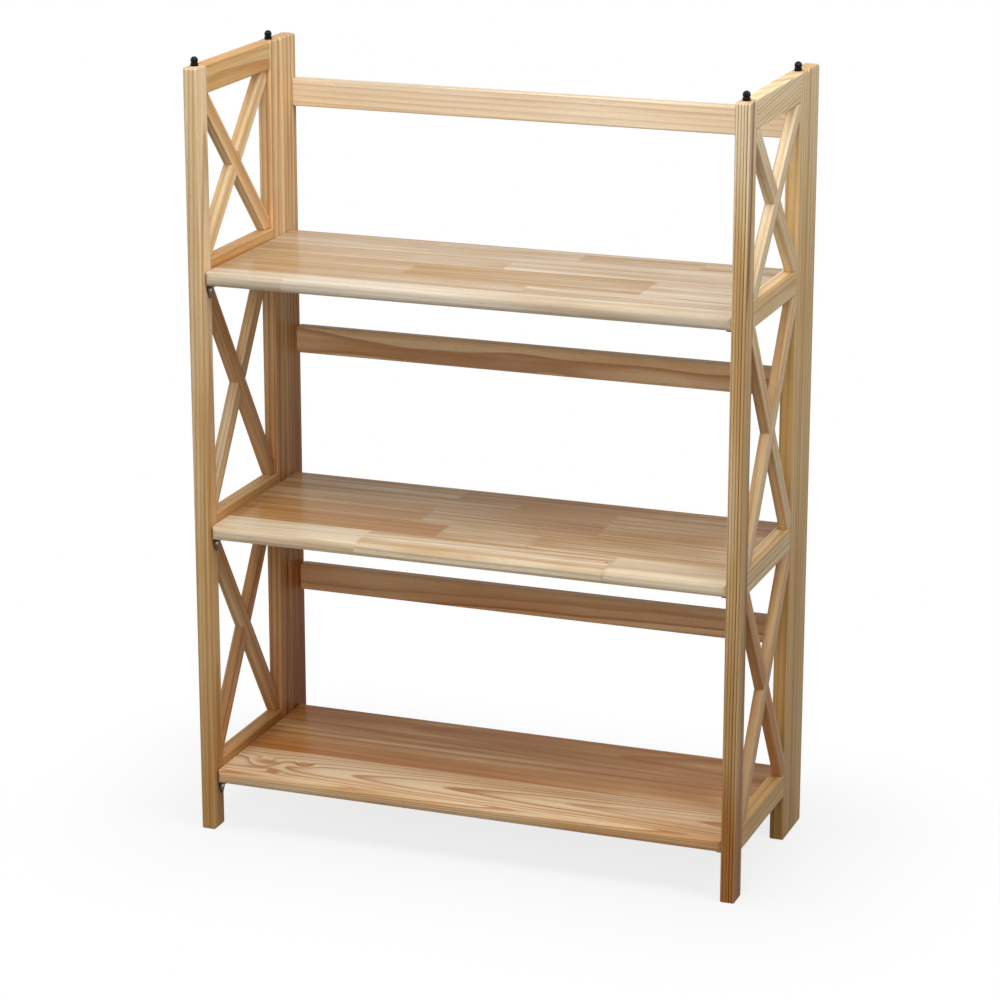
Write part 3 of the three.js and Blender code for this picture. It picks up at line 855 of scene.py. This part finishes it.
@dataclass(frozen=True)
class BlackPlastic:
    """The glossy moulded black of the stacking pins, with fine scuffs."""

    colour: str = "050506"
    worn: Mark = Mark("121214", 0.5)
    flow: Pattern = Pattern((260, 260, 90), 2, 3, 0.6)
    scuffs: Pattern = Pattern((1800, 1800, 500), 7, 2, 0.7)
    scuff_range: Span = (0.58, 0.75)
    roughness: float = 0.05
    flow_rough: float = 0.06
    scuff_rough: float = 0.05
    scuff_height: float = 0.3
    bump: float = 0.2
    bump_depth: float = 0.05 * MM
    gloss: float = 0.16

    def material(self) -> Material:
        """Makes the plastic.

        Returns:
            The finished material.
        """
        bench = Bench.named("black_plastic")
        place = bench.here()
        flow = bench.noise(place, self.flow)
        scuff = bench.noise(place, self.scuffs)
        return bench.surface({
            "Base Color": self.worn.over(linear(self.colour), scuff.ease(*self.scuff_range)),
            "Roughness": flow * self.flow_rough + scuff * self.scuff_rough + self.roughness,
            "Normal": bench.relief(flow + scuff * self.scuff_height, self.bump, self.bump_depth),
            "Specular IOR Level": self.gloss,
        })


@dataclass(frozen=True)
class Metal:
    """A metal finish: its colours and roughness, its worn blots, its pits and the marks of its making."""

    name: str
    colour: str
    worn: str
    roughness: float
    marks: Pattern
    blots: Pattern = Pattern((210, 210, 210), 3, 3, 0.6)
    pits: Pattern = Pattern((1500, 1500, 1500), 5, 1)
    pitted: Mark = Mark("2a2622", 0.4)
    blot_range: Span = (0.45, 0.72)
    pit_range: Span = (0.62, 0.75)
    mark_rough: float = 0.22
    blot_rough: float = 0.1
    pit_rough: float = 0.15
    pit_depth: float = 0.6
    bump: float = 0.25
    bump_depth: float = 0.04 * MM

    def material(self) -> Material:
        """Makes the metal.

        Returns:
            The finished material.
        """
        bench = Bench.named(self.name)
        place = bench.here()
        blot = bench.noise(place, self.blots)
        line = bench.noise(place, self.marks)
        pit = bench.noise(place, self.pits).ease(*self.pit_range)
        colour = bench.mix(blot.ease(*self.blot_range), linear(self.colour), linear(self.worn))
        rough = (line - 0.5) * self.mark_rough + blot * self.blot_rough
        return bench.surface({
            "Base Color": self.pitted.over(colour, pit),
            "Metallic": 1.0,
            "Roughness": rough + pit * self.pit_rough + self.roughness,
            "Normal": bench.relief(line - pit * self.pit_depth, self.bump, self.bump_depth),
        })


DARK_METAL = Metal("dark_bronzed_steel", "3c2d1c", "75582e", 0.34, Pattern((900, 900, 160), 8, 2, 0.6))
BRIGHT_METAL = Metal("bright_steel", "b5b1a8", "cfccc4", 0.22, Pattern((300, 300, 2600), 8, 2, 0.6))


@dataclass
class BracketScrew:
    """A round-headed cross-slot screw through a shelf bracket, in millimetres and degrees.

    The outline goes from the top of the head to the end of the shank, as radius and height.
    """

    side: Side
    level: str
    height: float
    plate: float = 329.5
    row: float = -124.3
    outline: tuple[Span, ...] = (
        (0.0, 1.5), (0.55, 1.5), (1.75, 1.29), (2.32, 0.99), (2.755, 0.57), (2.9, 0.18), (2.813, 0.0),
        (1.75, 0.0), (1.75, -1.4), (0.0, -1.4),
    )
    slot_reach: float = 1.75
    slot_depth: float = 0.8
    slot_taper: float = 0.8
    slot_angle: float = 11.3
    slot_middle: float = 0.5
    slot_level: float = 1.2
    cross_radians: float = 0.6
    steps: int = 32
    merge: float = 1e-4
    smooth_angle: float = 38.0

    @property
    def name(self) -> str:
        """The screw's name."""
        return f"{self.side.word}_{self.level}_bracket_screw"

    def _lathe(self) -> bmesh.types.BMesh:
        """Spins the outline round and sinks the cross into the head.

        Returns:
            The screw on the z axis, in millimetres.
        """
        shape = bmesh.new()
        points = [shape.verts.new((radius, 0.0, height)) for radius, height in self.outline]
        lines = [shape.edges.new(pair) for pair in zip(points, points[1:])]
        bmesh.ops.spin(shape, geom=points + lines, cent=(0, 0, 0), axis=(0, 0, 1), angle=math.tau,
                       steps=self.steps, use_merge=True)
        bmesh.ops.remove_doubles(shape, verts=shape.verts[:], dist=self.merge)
        bmesh.ops.recalc_face_normals(shape, faces=shape.faces[:])
        cross = [face for face in shape.faces if self._in_cross(face)]
        grown = bmesh.ops.extrude_face_region(shape, geom=cross)
        sunk = [item for item in grown["geom"] if isinstance(item, bmesh.types.BMVert)]
        bmesh.ops.translate(shape, verts=sunk, vec=(0, 0, -self.slot_depth))
        bmesh.ops.scale(shape, verts=sunk, vec=(self.slot_taper, self.slot_taper, 1.0))
        return shape

    def _in_cross(self, face: bmesh.types.BMFace) -> bool:
        """Whether a face of the head belongs to the cross.

        Args:
            face: The face.

        Returns:
            Whether it lies high enough and within a bar of the cross.
        """
        middle = face.calc_center_median()
        radius = math.hypot(middle.x, middle.y)
        if middle.z < self.slot_level or radius > self.slot_reach:
            return False
        turn = math.degrees(math.atan2(middle.y, middle.x)) % 90
        return radius < self.slot_middle or turn < self.slot_angle or turn > 90 - self.slot_angle

    def build(self) -> bpy.types.Object:
        """Makes the screw, sets it on its bracket and lets it ride on its side frame.

        Returns:
            The screw's object.
        """
        shape = self._lathe()
        place = Vector((self.side.value * self.plate, self.row, self.height))
        inward = Matrix.Rotation(-self.side.value * math.pi / 2, 4, "Y")
        turn = Euler((self.cross_radians, 0.0, 0.0)).to_matrix().to_4x4() @ inward
        move = Matrix.Scale(MM, 4) @ Matrix.Translation(place) @ turn
        bmesh.ops.transform(shape, matrix=move, verts=shape.verts[:])
        bmesh.ops.recalc_face_normals(shape, faces=shape.faces[:])
        for edge in shape.edges:
            edge.smooth = edge.calc_face_angle(0.0) < math.radians(self.smooth_angle)
        for face in shape.faces:
            face.smooth = True
        mesh = bpy.data.meshes.new(self.name)
        shape.to_mesh(mesh)
        shape.free()
        made = stand(self.name, mesh)
        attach(made, self.side.word + "_side_frame")
        return made


@dataclass(frozen=True)
class Pile:
    """A pile of boards: between which values the hearts, rings, seeds and tones of its boards lie."""

    reach: Span
    angle: Span = (0.3, 1.3)
    lean: Span = (-22.0, 22.0)
    spacing: Span = (5.0, 8.5)
    warp: Span = (3.0, 5.0)
    seed: Span = (1.0, 60.0)
    change: Span = (-0.15, 0.15)

    def draw(self, node: str, grain: Grain, finish: PineFinish, tone: float) -> Board:
        """Picks a board, always the same one for the same node.

        Args:
            node: The node that it is for.
            grain: The way of its fibres.
            finish: Its pine.
            tone: How much resin it holds, give or take; on the braces it also holds painted shade, higher
                lower down.

        Returns:
            The board.
        """
        chance = random.Random(node)
        angle = chance.uniform(*self.angle) * chance.choice((1, -1))
        far = chance.uniform(*self.reach)
        spans = (self.lean, self.spacing, self.warp, self.seed, self.change)
        lean, spacing, warp, seed, change = [chance.uniform(*span) for span in spans]
        heart = (far * math.sin(angle), far * math.cos(angle))
        return Board(node, grain, finish, heart, lean, spacing, warp, seed, tone + change)


RAIL_PILE = Pile((40.0, 70.0))
BRACE_PILE = Pile((40.0, 80.0))


@dataclass
class SideFrame:
    """One side: stiles, rails, crossed braces, stacking pins, shelf brackets and hinge leaves."""

    side: Side
    pin: Material
    dark: Material
    bright: Material
    # Tones of the bottom, middle and top braces: higher lower down, a painted shade that darkens the lower
    # braces.
    brace_tones: tuple[float, ...] = (0.65, 0.45, 0.2)
    screw_heights: tuple[float, ...] = (53.05, 373.05, 693.05)

    def _name(self, part: str) -> str:
        """The node of one of this side's parts."""
        return f"{self.side.word}_{part}"

    def _boards(self) -> list[Board]:
        """Lists this side's boards with their pine.

        Returns:
            The stiles, the rails and the braces.
        """
        if self.side is Side.LEFT:
            finish, rail_tones = GOLDEN_PINE, (0.75, 0.7)
            boards = [
                Board(self._name("front_stile"), Grain.HEIGHT, STILE_PINE, (4, 50), lean=14,
                      spacing=5.2, warp=7, seed=14.2, tone=0.42, fade=-1.1),
                Board(self._name("rear_stile"), Grain.HEIGHT, POST_PINE, (24, 70), lean=10,
                      spacing=6.5, warp=5, seed=21.7, tone=0.35, fade=-0.8),
                Board(self._name("crown_rail"), Grain.DEPTH, GOLDEN_PINE, (70, 14), lean=20,
                      spacing=3.6, warp=6, seed=9.1, tone=0.45),
                Board(self._name("top_rail"), Grain.DEPTH, GOLDEN_PINE, (60, 30), lean=10,
                      spacing=5.5, warp=5, seed=33.1, tone=0.75),
            ]
        else:
            finish, rail_tones = SIDE_PINE, (0.5, 0.35)
            boards = [
                Board(self._name("front_stile"), Grain.HEIGHT, STRIPED_PINE, (-10, -60), lean=4,
                      spacing=3.7, warp=2.5, seed=33.4, tone=0.56, fade=-0.8),
                Board(self._name("rear_stile"), Grain.HEIGHT, SIDE_PINE, (48, -62), lean=8,
                      spacing=5.5, warp=4, seed=47.9, tone=0.45, fade=-1),
                Board(self._name("crown_rail"), Grain.DEPTH, PALE_PINE, (12, 70), lean=-90,
                      spacing=4.6, warp=2.5, seed=12.6, tone=0.3),
                RAIL_PILE.draw(self._name("top_rail"), Grain.DEPTH, SIDE_PINE, tone=0.3),
            ]
        for level, tone in zip(LEVELS, rail_tones):
            boards.append(RAIL_PILE.draw(self._name(level + "_rail"), Grain.DEPTH, finish, tone))
        # Lower braces take a higher tone: painted shade.
        for level, tone in zip(LEVELS, self.brace_tones):
            for grain in (Grain.RISING, Grain.FALLING):
                node = self._name(f"{level}_{grain.value}_brace")
                boards.append(BRACE_PILE.draw(node, grain, BRACE_PINE, tone))
        return boards

    def build(self, shop: PineShop) -> None:
        """Dresses every node of the side and adds its bracket screws.

        Args:
            shop: The shop that makes the pine.
        """
        boards = self._boards()
        for board in boards:
            shop.dress(board)
        for end in ("front", "rear"):
            put_on(self._name(end + "_stacking_pin"), self.pin)
        for place in ("lower", "upper"):
            put_on(self._name(place + "_hinge_frame_leaf"), self.dark)
        for level, height in zip(LEVELS, self.screw_heights):
            put_on(self._name(level + "_shelf_bracket"), self.dark)
            screw = BracketScrew(self.side, level, height).build()
            screw.data.materials.append(self.bright)
            LOG.info("%s on its bracket", screw.name)
        LOG.info("%s side frame: %d boards dressed", self.side.word, len(boards))


@dataclass
class BackFrame:
    """The two posts, the three slats between them, and the metal that they hold."""

    dark: Material
    bright: Material

    def build(self, shop: PineShop) -> None:
        """Dresses every node of the back.

        Args:
            shop: The shop that makes the pine.
        """
        boards = [
            Board("left_back_post", Grain.HEIGHT, POST_PINE, (60, 50), lean=6, spacing=9, warp=6,
                  seed=8.3, tone=0.45, fade=-1.1),
            Board("right_back_post", Grain.HEIGHT, SIDE_PINE, (-40, -60), lean=6, spacing=6, warp=5,
                  seed=17.1, tone=0.35, fade=-0.8),
            Board("top_back_slat", Grain.WIDTH, CREAM_SLAT_PINE, (30, 60), lean=8, spacing=6.5, warp=6,
                  seed=5.9, tone=0.25),
            Board("middle_back_slat", Grain.WIDTH, SLAT_PINE, (70, 4), lean=12, spacing=3.6, warp=8,
                  seed=26.4, tone=0.3),
            Board("bottom_back_slat", Grain.WIDTH, SLAT_PINE, (60, -12), lean=-14, spacing=3.4, warp=6,
                  seed=52.8, tone=0.42),
        ]
        for board in boards:
            shop.dress(board)
        for side in Side:
            for level in LEVELS:
                put_on(f"{side.word}_{level}_pivot_pin", self.bright)
            for place in ("lower", "upper"):
                put_on(f"{side.word}_{place}_hinge_post_leaf", self.dark)
                put_on(f"{side.word}_{place}_hinge_pin", self.bright)
        LOG.info("back frame: %d boards dressed", len(boards))


# Past the right end of every shelf, in millimetres from its middle.
END = 338

# The first stave of each shelf, with the rounded nose, has the lowest tone: partly its own pale sapwood,
# partly a painted highlight on the nose.
TOP_SHELF = Shelf("top_shelf", CREAM_SHELF_PINE, (
    Stave(27, (Piece(-231, 0.09, 30, 60, 6, 4, 0.5), Piece(END, 0.03, -20, 90, 4, 4, 0.4))),
    Stave(39, (Piece(58, 0.5, -30, 30, 22, 4), Piece(END, 0.3, 24, 40, -26, 4))),
    Stave(73, (Piece(-107, 0.45, 90, 60, 4, 6), Piece(196, 0.75, -46, 50, 3, 6, 0.9),
               Piece(END, 0.35, 60, 60, -5, 5))),
    Stave(47, (Piece(-1, 0.48, 70, 50, 3, 7), Piece(END, 0.22, -80, 60, 4, 6, 0.6))),
    Stave(25, (Piece(END, 0.32, 60, 90, 3, 5, 0.6),)),
    Stave(37, (Piece(-122, 0.4, 20, 80, 6, 4), Piece(69, 0.38, -40, 60, 8, 4),
               Piece(224, 0.5, 30, 60, -8, 4), Piece(END, 0.42, 10, 90, 5, 4))),
    Stave(19, (Piece(END, 0.42, 60, 80, 4, 5),)),
), seed=4.4)
MIDDLE_SHELF = Shelf("middle_shelf", TAWNY_SHELF_PINE, (
    Stave(53, (Piece(-141, 0, 30, 90, 6, 4, 0.5), Piece(178, 0.12, 40, 60, 10, 5, 0.7),
               Piece(END, 0.12, 0, 90, 4, 4, 0.5))),
    Stave(55, (Piece(-58, 0.7, 80, 60, 8, 5), Piece(62, 0.32, 50, 90, -8, 4, 0.8),
               Piece(END, 0.32, -60, 60, 10, 5))),
    Stave(57, (Piece(-100, 0.48, 70, 60, -14, 5), Piece(124, 0.45, 40, 60, -20, 4),
               Piece(END, 0.36, -40, 80, 8, 4))),
    Stave(52, (Piece(-4, 0.35, 40, 90, 4, 4, 0.8), Piece(126, 0.62, 0, 140, 3, 9, 1.6),
               Piece(END, 0.28, 120, 60, -55, 4.4))),
    Stave(50, (Piece(-88, 0.45, 30, 90, 7, 4), Piece(END, 0.55, -30, 70, -9, 4))),
), seed=11.8, knots=(Knot(172, -101, 5, 3, 0.7, 1.1),))
BOTTOM_SHELF = Shelf("bottom_shelf", WARM_SHELF_PINE, (
    Stave(94, (Piece(END, 0.14, -3, 81, -16, 2.4, 0.85),)),
    Stave(80, (Piece(END, 0.55, -44, 150, 3, 6.5, 0.7),)),
    Stave(93, (Piece(END, 0.58, 14, 270, -11.4, 3.1, 0.8),)),
), seed=19.6, warp=3.4, knots=(
    Knot(-287, -84, 21, 6, 1.3, 0.8), Knot(-236, -78, 11, 3, 1.6, 1.2),
    Knot(-264, -112, 9, 3, 1.5, 1.1),
))


@dataclass
class ShelfSet:
    """The three glued shelves."""

    shelves: tuple[Shelf, ...] = (TOP_SHELF, MIDDLE_SHELF, BOTTOM_SHELF)

    def build(self, shop: PineShop) -> None:
        """Dresses the three shelves.

        Args:
            shop: The shop that makes the pine.
        """
        for shelf in self.shelves:
            shelf.dress(shop)
            LOG.info("%s dressed with %d staves", shelf.node, len(shelf.staves))


@dataclass(frozen=True)
class SoftLamp:
    """One softbox: where it stands, what it faces, its size and its power."""

    name: str
    place: Point
    aim: Point
    width: float
    height: float
    power: float
    mirrored: bool = True

    def build(self) -> None:
        """Makes the lamp, which shows in gloss only where it is mirrored."""
        lamp = bpy.data.lights.new(self.name, "AREA")
        lamp.shape = "RECTANGLE"
        lamp.size, lamp.size_y, lamp.energy = self.width, self.height, self.power
        made = stand(self.name, lamp)
        made.location = self.place
        made.rotation_euler = (Vector(self.aim) - Vector(self.place)).to_track_quat("-Z", "Y").to_euler()
        made.visible_glossy = self.mirrored


@dataclass
class Studio:
    """The white studio: floor, world, softboxes and camera."""

    fill: float = 0.03
    floor_reach: float = 9.0
    floor_level: float = 0.86
    floor_bounce: float = 0.36
    shadow_half: Span = (0.3, 0.1)
    shadow_reach: float = 0.35
    shadow_share: float = 0.2
    lamps: tuple[SoftLamp, ...] = (
        SoftLamp("overhead_softbox", (0, -0.45, 1.95), (0, 0, 0.6), 1.4, 1, 15),
        SoftLamp("front_softbox", (0.25, -2.4, 1.5), (0, 0, 0.65), 1.4, 1.2, 22.5),
        SoftLamp("right_softbox", (1.6, -0.5, 1.9), (0, 0, 0.8), 1, 1, 17),
        SoftLamp("left_softbox", (-2.6, -0.1, 1.4), (0, 0, 0.6), 1.2, 1.2, 17),
        SoftLamp("back_softbox", (-0.5, 2.6, 1.1), (0, 0, 0.6), 1.4, 1.2, 19, False),
    )
    lens: float = 123.9
    sensor: float = 36.0
    eye: Point = (1.410, -3.807, 1.635)
    yaw: float = 20.36
    pitch: float = 16.57

    @staticmethod
    def _seen(bench: Bench) -> Signal:
        """Whether a ray comes straight from the camera or by way of gloss or glass."""
        ray = bench.node("ShaderNodeLightPath", None, None, "Is Camera Ray")
        return ray.high(ray.also("Is Glossy Ray")).high(ray.also("Is Transmission Ray"))

    def _world(self) -> None:
        """Makes the world: white where it is seen, a soft fill elsewhere."""
        world = bpy.data.worlds.new("studio")
        bpy.context.scene.world = world
        bench = Bench(world)
        seen = self._seen(bench)
        strength = seen * (1 - self.fill) + self.fill
        back = bench.node("ShaderNodeBackground", None, {"Color": grey(1.0), "Strength": strength})
        bench.node("ShaderNodeOutputWorld", None, {"Surface": back})

    def _floor(self) -> None:
        """Makes the pale floor, which keeps a soft shadow close to the bookcase.

        Light that bounces off it on to the bookcase is duller than the floor that is seen.
        """
        shape = bmesh.new()
        bmesh.ops.create_grid(shape, x_segments=1, y_segments=1, size=self.floor_reach)
        mesh = bpy.data.meshes.new("studio_floor")
        shape.to_mesh(mesh)
        shape.free()
        floor = stand("studio_floor", mesh)
        bench = Bench.named("studio_floor_white")
        x, y, _ = bench.here().parts()
        across, along = [(abs(part) - half).high(0.0) for part, half in zip((x, y), self.shadow_half)]
        away = (across * across + along * along).root()
        clear = away.ease(0.0, self.shadow_reach) * self.shadow_share + (1 - self.shadow_share)
        matt = bench.node("ShaderNodeBsdfDiffuse", None, {"Color": grey(self.floor_level)})
        white = bench.node("ShaderNodeEmission", None, {"Color": grey(1.0), "Strength": 1.0})
        shown = bench.node("ShaderNodeMixShader", None, {0: clear, 1: matt, 2: white})
        dull = bench.node("ShaderNodeBsdfDiffuse", None, {"Color": grey(self.floor_bounce)})
        shown = bench.node("ShaderNodeMixShader", None, {0: self._seen(bench), 1: dull, 2: shown})
        bench.node("ShaderNodeOutputMaterial", None, {"Surface": shown})
        mesh.materials.append(bench.owner)

    def _camera(self) -> None:
        """Sets the camera where the photograph was taken."""
        data = bpy.data.cameras.new("camera")
        data.lens, data.sensor_width = self.lens, self.sensor
        camera = stand("camera", data)
        camera.location = self.eye
        camera.rotation_euler = (math.radians(90 - self.pitch), 0.0, math.radians(self.yaw))
        bpy.context.scene.camera = camera

    def build(self) -> None:
        """Makes the whole studio."""
        bpy.context.scene.view_settings.view_transform = "Standard"
        self._world()
        self._floor()
        for lamp in self.lamps:
            lamp.build()
        self._camera()
        LOG.info("studio with %d softboxes", len(self.lamps))


def main() -> None:
    """Builds every sub-assembly in order."""
    logging.basicConfig(level=logging.INFO, format="%(message)s")
    shop = PineShop()
    pin, dark, bright = BlackPlastic().material(), DARK_METAL.material(), BRIGHT_METAL.material()
    Studio().build()
    for side in Side:
        SideFrame(side, pin, dark, bright).build(shop)
    BackFrame(dark, bright).build(shop)
    ShelfSet().build(shop)
    bpy.context.view_layer.update()


if __name__ == "__main__":
    main()
